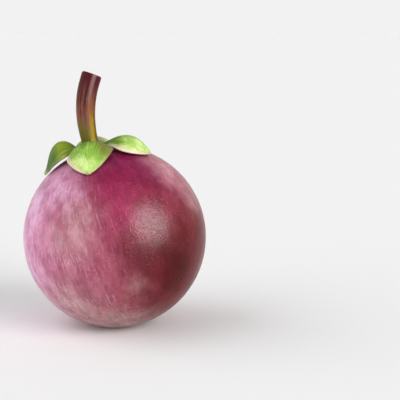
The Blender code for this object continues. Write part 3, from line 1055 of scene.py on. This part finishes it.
def rosette_shape(settings, material):
    """The tree of the rosette: a thin lobed plate that follows the skin over it."""
    tree = ShapeTree("rosette_shape")
    take = tree.take(groove_depth=settings.groove_depth)
    sockets = {"Vertices": ROSETTE_SIDES, "Side Segments": ROSETTE_RIM_ROWS,
               "Fill Segments": ROSETTE_RINGS, "Radius": 1.0, "Depth": 1.0}
    disc = tree.add("GeometryNodeMeshCylinder", {"fill_type": "TRIANGLE_FAN"}, sockets)
    x, y, z = tree.split(tree.add("GeometryNodeInputPosition"))
    turn = tree.work_out("ARCTAN2", y, x)
    out_share = tree.join(x, y, 0.0).do("LENGTH").at_most(1.0)
    fold = (turn * (0.5 * ROSETTE_LOBES)).do("COSINE").do("ABSOLUTE")
    lobe = fold ** ROSETTE_LOBE_POWER
    reach = (lobe * (1.0 - ROSETTE_NOTCH) + ROSETTE_NOTCH) * ROSETTE_RADIUS
    spread = out_share * reach / BALL_RADIUS
    flat = spread.do("SINE")
    down = tree.join(flat * turn.do("COSINE"), flat * turn.do("SINE"), spread.do("COSINE") * -1.0)
    outward = towards_base(down)
    outer = 0.5 - z
    groove = fade((1.0 - fold) * GROOVE_SHARPNESS) * tree.ease(out_share, *GROOVE_RANGE)
    wrinkles = tree.noise(down, WRINKLE_SCALE) - 0.5
    relief = (wrinkles - groove) * take["groove_depth"] * outer
    rise = (ROSETTE_THICK_RIM + ROSETTE_DOME * (1.0 - out_share * out_share)) * outer + relief
    place = outward * (ball_radius_at(outward) + ROSETTE_GAP + rise)
    tree.finish(disc, tree.stand(place), material, lobe=tree.join(out_share, 0.0, 0.0))
    return tree


def rosette_finish(settings):
    """Dry brown, paler on the raised rims."""
    tree = FinishTree("rosette_skin")
    out_share = tree.split(tree.kept("lobe"))[0]
    wrinkles = tree.noise(tree.on_ball(), HUSK_SCALE, detail=5.0, roughness=0.65)
    raised = tree.ease(wrinkles + out_share * 0.15, *CREST_RANGE)
    brown = tree.mix(raised, settings.husk, settings.crest)
    return tree.dress(wrinkles, HUSK_RELIEF, Base_Color=brown,
                      Roughness=raised * -0.1 + HUSK_ROUGHNESS, Specular_IOR_Level=HUSK_SHINE)


# -------------------- the stage

FLOOR_RADIUS = 9.0
FLOOR_SIDES = 96
FLOOR_ROUGHNESS = 0.9
KEY_DIRECTION = Vector((0.675, -0.640, 0.367))
KEY_SPREAD = math.radians(42.0)
FILL_DIRECTION = Vector((-0.85, -0.10, 0.50))
FILL_SPREAD = math.radians(80.0)
LIGHT_DISTANCE = 1.0
SKY_START = 0.05
SKY_END = 0.40
SENSOR_MM = 36.0
NEAR_CLIP = 0.01


def make_floor(settings):
    """A wide plain floor."""
    points = [(FLOOR_RADIUS * math.cos(turn), FLOOR_RADIUS * math.sin(turn), 0.0)
              for turn in (2.0 * math.pi * index / FLOOR_SIDES for index in range(FLOOR_SIDES))]
    mesh = bpy.data.meshes.new("floor")
    mesh.from_pydata(points, [], [tuple(range(FLOOR_SIDES))])
    tree = FinishTree("floor_paint")
    mesh.materials.append(tree.dress(Base_Color=(*settings.floor, 1.0),
                                     Roughness=FLOOR_ROUGHNESS, Specular_IOR_Level=0.0))
    floor = bpy.data.objects.new("floor", mesh)
    bpy.context.scene.collection.objects.link(floor)


def make_light(name, direction, spread, strength, gleam_only=False):
    """A far soft light, as wide in the sky as its spread, on floor and fruit alike."""
    light = bpy.data.lights.new(name, "SUN")
    light.angle = spread
    light.energy = strength
    lamp = bpy.data.objects.new(name, light)
    bpy.context.scene.collection.objects.link(lamp)
    lamp.location = direction.normalized() * LIGHT_DISTANCE
    lamp.rotation_euler = direction.to_track_quat("Z", "Y").to_euler()
    lamp.visible_diffuse = not gleam_only


def make_camera(settings):
    """The camera, which looks along +Y and a little down, with the fruit left of its middle."""
    lens = bpy.data.cameras.new("camera")
    lens.lens = settings.focal_length
    lens.sensor_width = SENSOR_MM
    lens.clip_start = NEAR_CLIP
    camera = bpy.data.objects.new("camera", lens)
    bpy.context.scene.collection.objects.link(camera)
    towards = Vector((0.0, -math.cos(settings.elevation), math.sin(settings.elevation)))
    up = Vector((0.0, math.sin(settings.elevation), math.cos(settings.elevation)))
    middle = Vector((0.0, 0.0, CENTRE_HEIGHT))
    camera.location = middle + towards * settings.distance
    aim = middle + up * settings.above + Vector((settings.aside, 0.0, 0.0))
    camera.rotation_euler = (camera.location - aim).to_track_quat("Z", "Y").to_euler()
    bpy.context.scene.camera = camera


def make_surroundings(settings):
    """A world as pale as the floor round the horizon and darker above, with no tone curve."""
    world = bpy.data.worlds.new("surroundings")
    world.use_nodes = True
    tree = Tree(world.node_tree)
    direction = tree.add("ShaderNodeTexCoord").out("Generated")
    height = tree.split(direction)[2]
    sky = tree.mix(tree.ease(height, SKY_START, SKY_END), settings.backdrop, settings.sky)
    tree.group.links.new(sky.socket, tree.group.nodes["Background"].inputs["Color"])
    bpy.context.scene.world = world
    bpy.context.scene.view_settings.view_transform = "Standard"


# -------------------- the add-on

class MANGOSTEEN_OT_rind(bpy.types.Operator):
    """Grow the rind round the ball"""

    bl_idname = "mangosteen.rind"
    bl_label = "Rind"

    def execute(self, context):
        settings = context.scene.mangosteen_rind
        piece = rind_shape(settings, rind_finish(settings)).grow("rind")
        place_piece(piece, "fruit")
        return {"FINISHED"}


class MANGOSTEEN_OT_stalk(bpy.types.Operator):
    """Grow the bent stalk with its cut end"""

    bl_idname = "mangosteen.stalk"
    bl_label = "Stalk"

    def execute(self, context):
        settings = context.scene.mangosteen_stalk
        piece = stalk_shape(settings, stalk_finish(settings)).grow("stalk")
        place_piece(piece, "stem")
        return {"FINISHED"}


class MANGOSTEEN_OT_sepals(bpy.types.Operator):
    """Grow the four sepals round the stalk"""

    bl_idname = "mangosteen.sepals"
    bl_label = "Sepals"

    def execute(self, context):
        settings = context.scene.mangosteen_sepals
        for sepal in SEPALS:
            tree = sepal_shape(sepal, settings, sepal_finish(sepal, settings))
            place_piece(tree.grow(sepal.name + "_blade"), sepal.name)
        return {"FINISHED"}


class MANGOSTEEN_OT_rosette(bpy.types.Operator):
    """Grow the dried rosette at the base"""

    bl_idname = "mangosteen.rosette"
    bl_label = "Rosette"

    def execute(self, context):
        settings = context.scene.mangosteen_rosette
        piece = rosette_shape(settings, rosette_finish(settings)).grow("rosette")
        place_piece(piece, "stigma")
        return {"FINISHED"}


class MANGOSTEEN_OT_stage(bpy.types.Operator):
    """Set the floor, the lights and the camera"""

    bl_idname = "mangosteen.stage"
    bl_label = "Stage"

    def execute(self, context):
        settings = context.scene.mangosteen_stage
        make_surroundings(settings)
        make_floor(settings)
        make_light("key", KEY_DIRECTION, KEY_SPREAD, settings.key_strength)
        make_light("fill", FILL_DIRECTION, FILL_SPREAD, settings.fill_strength)
        make_light("gleam", KEY_DIRECTION, KEY_SPREAD, settings.gleam_strength, gleam_only=True)
        make_camera(settings)
        return {"FINISHED"}


# Each operator with the settings that it reads
PARTS = (
    (MANGOSTEEN_OT_stage, "mangosteen_stage", StageSettings),
    (MANGOSTEEN_OT_rind, "mangosteen_rind", RindSettings),
    (MANGOSTEEN_OT_stalk, "mangosteen_stalk", StalkSettings),
    (MANGOSTEEN_OT_sepals, "mangosteen_sepals", SepalSettings),
    (MANGOSTEEN_OT_rosette, "mangosteen_rosette", RosetteSettings),
)


class MANGOSTEEN_PT_panel(bpy.types.Panel):
    """Lists the pieces with their sizes and colours"""

    bl_idname = "MANGOSTEEN_PT_panel"
    bl_label = "Mangosteen"
    bl_space_type = "VIEW_3D"
    bl_region_type = "UI"
    bl_category = "Mangosteen"

    def draw(self, context):
        for part, attribute, group in PARTS:
            box = self.layout.box()
            box.operator(part.bl_idname)
            for name in group.__annotations__:
                box.prop(getattr(context.scene, attribute), name)


def register():
    for part, attribute, group in PARTS:
        bpy.utils.register_class(group)
        setattr(bpy.types.Scene, attribute, PointerProperty(type=group))
        bpy.utils.register_class(part)
    bpy.utils.register_class(MANGOSTEEN_PT_panel)


def unregister():
    bpy.utils.unregister_class(MANGOSTEEN_PT_panel)
    for part, attribute, group in reversed(PARTS):
        bpy.utils.unregister_class(part)
        delattr(bpy.types.Scene, attribute)
        bpy.utils.unregister_class(group)


def main():
    """Build the whole scene; placing each piece compares its size with its solid's."""
    register()
    bpy.ops.mangosteen.stage()
    bpy.ops.mangosteen.rind()
    bpy.ops.mangosteen.stalk()
    bpy.ops.mangosteen.sepals()
    bpy.ops.mangosteen.rosette()


if __name__ == "__main__":
    main()
